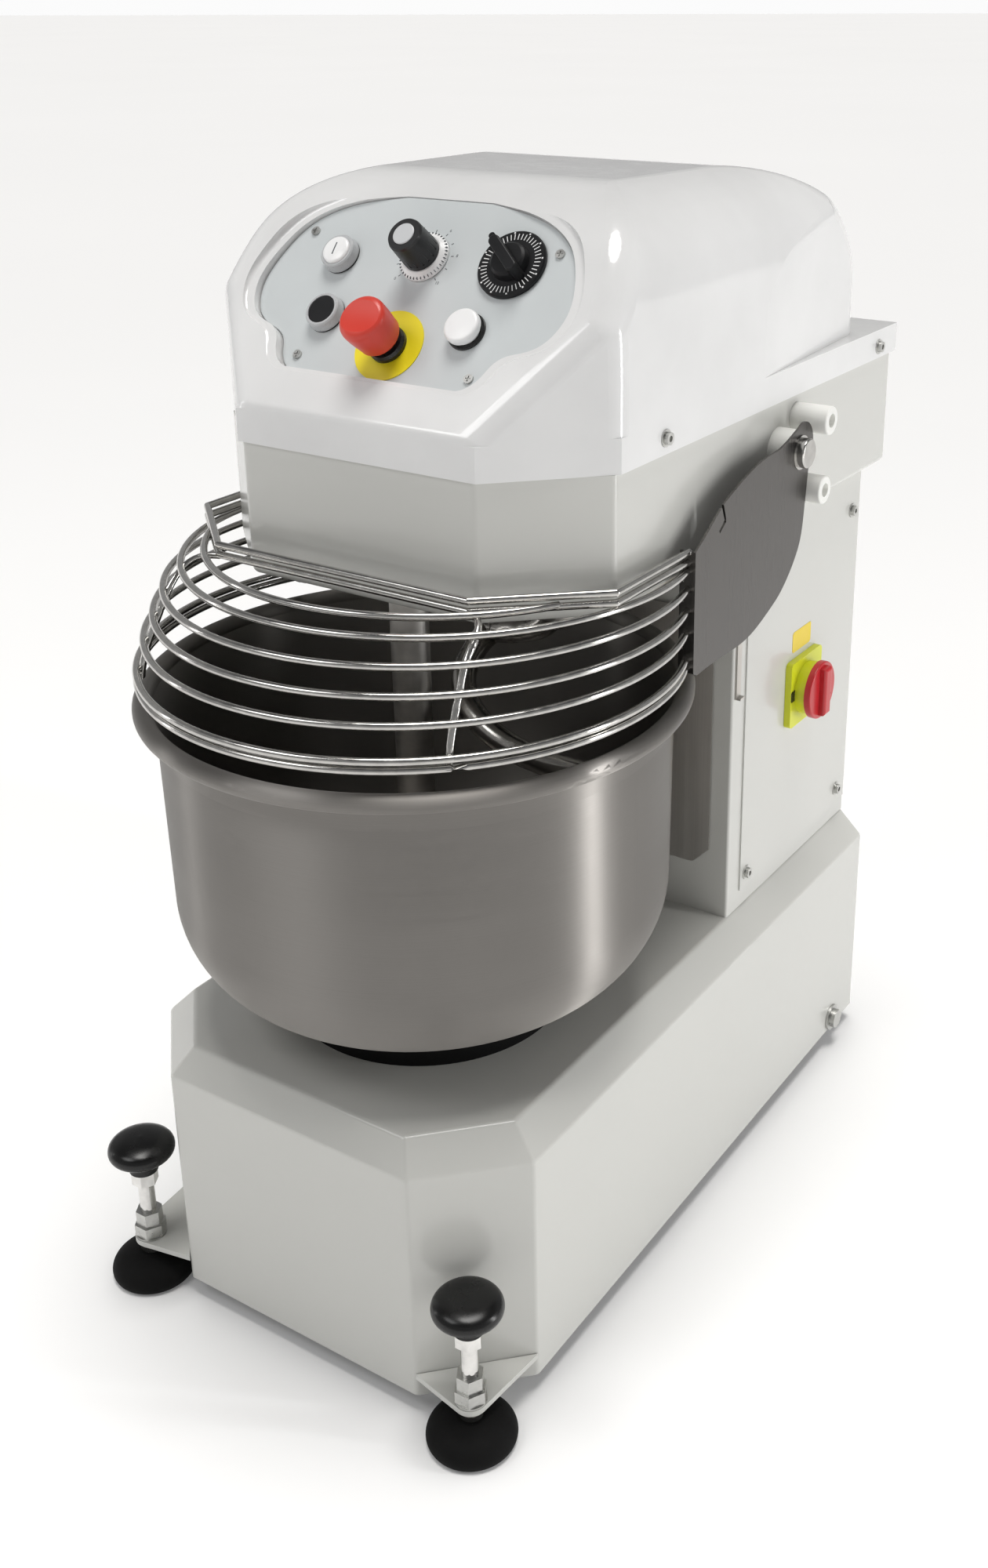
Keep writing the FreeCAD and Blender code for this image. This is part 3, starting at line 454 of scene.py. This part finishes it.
def addMarks(name, look, material, place, body):
    values = {"Count": look["count"], "First": math.radians(look["first"]),
              "Step": math.radians(look["step"]), "Radius": look["radius"], "Length": look["length"],
              "Width": look["width"], "Height": look["height"], "Material": finishes[material]}
    return addPiece(name, meshFromTree(dialMarks, values), place, body)


timerSpot, speedSpot, startSpot = (0.0806, -0.0134), (-0.001, -0.014), (-0.080, -0.020)
timerFine = {"count": 45, "first": 0.0, "step": 8.0, "radius": 0.0226, "length": 0.0050, "width": 0.0007,
             "height": 0.0003}
timerDots = {"count": 12, "first": 15.0, "step": 30.0, "radius": 0.0263, "length": 0.0013, "width": 0.0013,
             "height": 0.0003}
for name, look in (("timerFineMarks", timerFine), ("timerDots", timerDots)):
    addMarks(name, look, "markWhite", onPanel(*timerSpot, 0.0044), "timer")
speedRing = {"count": 40, "first": 0.0, "step": 9.0, "radius": 0.0196, "length": 0.0026, "width": 0.0005,
             "height": 0.0018}
addMarks("speedRingMarks", speedRing, "inkGrey", onPanel(*speedSpot, 0.0030), "speed")
speedScale = {"count": 11, "first": -45.0, "step": 27.0, "radius": 0.0242, "length": 0.0022, "width": 0.0006,
              "height": 0.00012}
addMarks("speedScaleMarks", speedScale, "inkGrey", onPanel(*speedSpot, 0.00006), "frame")
startMark = {"count": 1, "first": 90.0, "step": 0.0, "radius": 0.0, "length": 0.0105, "width": 0.0011,
             "height": 0.0003}
addMarks("startMark", startMark, "inkGrey", onPanel(*startSpot, 0.0122), "start")
print("dial marks made")


# generic numbers round the speed dial
numberLook = {"values": ("0", "2", "4", "6", "8", "10"), "first": 225.0, "step": -54.0, "radius": 0.0285,
              "size": 0.0036, "height": 0.00008}


def makeNumbers(look):
    joined = []
    for index, value in enumerate(look["values"]):
        curve = bpy.data.curves.new("number", "FONT")
        curve.body, curve.size = value, look["size"]
        curve.align_x, curve.align_y = "CENTER", "CENTER"
        holder = bpy.data.objects.new("number", curve)
        scene.collection.objects.link(holder)
        mesh = bpy.data.meshes.new_from_object(holder)
        bpy.data.objects.remove(holder)
        angle = math.radians(look["first"] + look["step"] * index)
        spot = (speedSpot[0] + look["radius"] * math.cos(angle),
                speedSpot[1] + look["radius"] * math.sin(angle))
        mesh.transform(onPanel(*spot, look["height"]))
        joined.append(mesh)
    whole = bmesh.new()
    for mesh in joined:
        whole.from_mesh(mesh)
    numbers = bpy.data.meshes.new("dialNumbers")
    whole.to_mesh(numbers)
    whole.free()
    numbers.materials.append(finishes["inkGrey"])
    return addPiece("dialNumbers", numbers, None, "frame")


makeNumbers(numberLook)


# flat stick-on pieces: blocks with rounded corners
def blockMesh(size, bevel, material):
    solid = bmesh.new()
    bmesh.ops.create_cube(solid, size=1.0, matrix=Matrix.Diagonal((*size, 1)))
    upright = [e for e in solid.edges if abs(e.verts[0].co.z - e.verts[1].co.z) > 0.5 * size[2]]
    bmesh.ops.bevel(solid, geom=upright, offset=bevel, segments=4, affect="EDGES")
    mesh = bpy.data.meshes.new("block")
    solid.to_mesh(mesh)
    solid.free()
    mesh.materials.append(finishes[material])
    return mesh


# pieces on the right side face: local X runs to the rear, local Y up, local Z out
def onSide(y, z, x):
    return Matrix.Translation((x, y, z)) @ Matrix.Rotation(math.radians(90), 4, "Z") @ Matrix.Rotation(
        math.radians(90), 4, "X")


sideBits = {
    "warningBlank": {"size": (0.040, 0.021, 0.0003), "bevel": 0.0015, "spot": (0.226, 0.4935, 0.17265),
                     "material": "labelYellow", "slot": "yellow_plastic"},
    "switchWindow": {"size": (0.009, 0.011, 0.0006), "bevel": 0.001, "spot": (0.1985, 0.443, 0.1792),
                     "material": "glossBlack", "slot": "black_plastic"},
}
for name, look in sideBits.items():
    addPiece(name, blockMesh(look["size"], look["bevel"], look["material"]), onSide(*look["spot"]), "frame")


# weld beads where the guard's wires meet the side plates and the struts
def beadTree():
    tree, start, end = newTree("weldBeads", {"Radius": ("Float", 0.004), "Flatten": ("Float", 0.7),
                                             "Seed": ("Int", 3), "Material": ("Material", None)}, True)
    bead = addNode(tree, "GeometryNodeMeshIcoSphere", Subdivisions=2)
    link(tree, start.outputs["Radius"], bead.inputs["Radius"])
    grow = addNode(tree, "FunctionNodeRandomValue", {"data_type": "FLOAT"})
    grow.inputs[2].default_value, grow.inputs[3].default_value = 0.85, 1.15
    link(tree, start.outputs["Seed"], grow.inputs["Seed"])
    size = tree.nodes.new("ShaderNodeCombineXYZ")
    link(tree, mathOf(tree, "MULTIPLY", grow.outputs[1], start.outputs["Flatten"]), size.inputs[0])
    link(tree, grow.outputs[1], size.inputs[1])
    link(tree, mathOf(tree, "MULTIPLY", grow.outputs[1], start.outputs["Flatten"]), size.inputs[2])
    spread = tree.nodes.new("GeometryNodeInstanceOnPoints")
    link(tree, start.outputs["Geometry"], spread.inputs["Points"])
    link(tree, bead.outputs["Mesh"], spread.inputs["Instance"])
    link(tree, size.outputs[0], spread.inputs["Scale"])
    closeTree(tree, spread.outputs[0], start, end)
    return tree


beadLook = {"radius": 0.0037, "flatten": 0.8, "seed": 3, "endX": 0.2035, "endY": -0.0595,
            "heights": (0.571, 0.578, 0.601, 0.619, 0.637, 0.652, 0.659, 0.667)}


def makeBeads(look):
    points = [(side * look["endX"], look["endY"], z) for side in (-1, 1) for z in look["heights"]]
    values = {"Radius": look["radius"], "Flatten": look["flatten"], "Seed": look["seed"],
              "Material": finishes["polishedWire"]}
    mesh = meshFromTree(beadTree(), values, points)
    mesh.polygons.foreach_set("use_smooth", [True] * len(mesh.polygons))
    return addPiece("guardWelds", mesh, None, "guard")


makeBeads(beadLook)
print("small pieces made")


# floor, world and lights
floorLook = {"size": 400.0, "colour": (0.88, 0.88, 0.88), "roughness": 0.8, "glow": 0.08}


def makeFloor(look):
    half = look["size"] / 2
    mesh = bpy.data.meshes.new("floor")
    corners = [(-half, -half, 0), (half, -half, 0), (half, half, 0), (-half, half, 0)]
    mesh.from_pydata(corners, [], [(0, 1, 2, 3)])
    sockets = {"Emission Color": (1, 1, 1, 1), "Emission Strength": look["glow"], "Specular IOR Level": 0.2}
    material, tree, shader = newFinish("floorPaint", look["colour"], look["roughness"], 0.0, sockets)
    tintOf(tree, shader, noiseOf(tree, placeOf(tree), 0.4), scaled(look["colour"], 0.985), look["colour"])
    mesh.materials.append(material)
    floor = bpy.data.objects.new("floor", mesh)
    scene.collection.objects.link(floor)


# a pale band from the horizon up and a dim ceiling for the surfaces to reflect, behind a plain backdrop
def makeWorld(seen, low, high):
    world = bpy.data.worlds.new("studio")
    world.use_nodes = True
    tree = world.node_tree
    tree.nodes.clear()
    split = tree.nodes.new("ShaderNodeSeparateXYZ")
    link(tree, addNode(tree, "ShaderNodeTexCoord").outputs["Generated"], split.inputs[0])
    shown = addNode(tree, "ShaderNodeBackground", None, Color=(*seen, 1))
    lit = addNode(tree, "ShaderNodeBackground")
    sky = rampOf(tree, split.outputs[2], (0.0, low), (0.5, low), (0.75, high))
    link(tree, sky, lit.inputs["Color"])
    mix = tree.nodes.new("ShaderNodeMixShader")
    out = tree.nodes.new("ShaderNodeOutputWorld")
    link(tree, tree.nodes.new("ShaderNodeLightPath").outputs["Is Camera Ray"], mix.inputs[0])
    link(tree, lit.outputs[0], mix.inputs[1])
    link(tree, shown.outputs[0], mix.inputs[2])
    link(tree, mix.outputs[0], out.inputs[0])
    scene.world = world


worldLook = {"seen": (0.97, 0.97, 0.97), "low": (0.36, 0.36, 0.36), "high": (0.1, 0.1, 0.104)}
keyLook = {"from": (0.02, 0.06, 1.0), "energy": 2.4, "spread": 30.0, "colour": (1.0, 0.985, 0.96)}
softboxes = {
    "frontTop": {"place": (-0.7, -1.4, 2.1), "aim": (0, -0.1, 0.85), "size": (1.0, 0.7), "power": 9.0},
    "sideStrip": {"place": (2.2, 0.62, 0.75), "aim": (0, -0.15, 0.4), "size": (0.12, 1.4), "power": 17.0},
    "leftStrip": {"place": (-2.6, -1.1, 0.8), "aim": (0, -0.15, 0.4), "size": (0.1, 1.4), "power": 3.0},
}


def makeLamp(name, kind, energy, place, aim):
    data = bpy.data.lights.new(name, kind)
    data.energy = energy
    lamp = bpy.data.objects.new(name, data)
    lamp.location = place
    lamp.rotation_euler = (Vector(aim) - Vector(place)).to_track_quat("-Z", "Y").to_euler()
    scene.collection.objects.link(lamp)
    return data


def makeLights():
    key = makeLamp("key", "SUN", keyLook["energy"], keyLook["from"], (0, 0, 0))
    key.angle = math.radians(keyLook["spread"])
    key.color = keyLook["colour"]
    for name, look in softboxes.items():
        box = makeLamp(name, "AREA", look["power"], look["place"], look["aim"])
        box.shape = "RECTANGLE"
        box.size, box.size_y = look["size"]


makeFloor(floorLook)
makeWorld(**worldLook)
makeLights()
scene.view_settings.view_transform = "Standard"
print("stage and lights made")
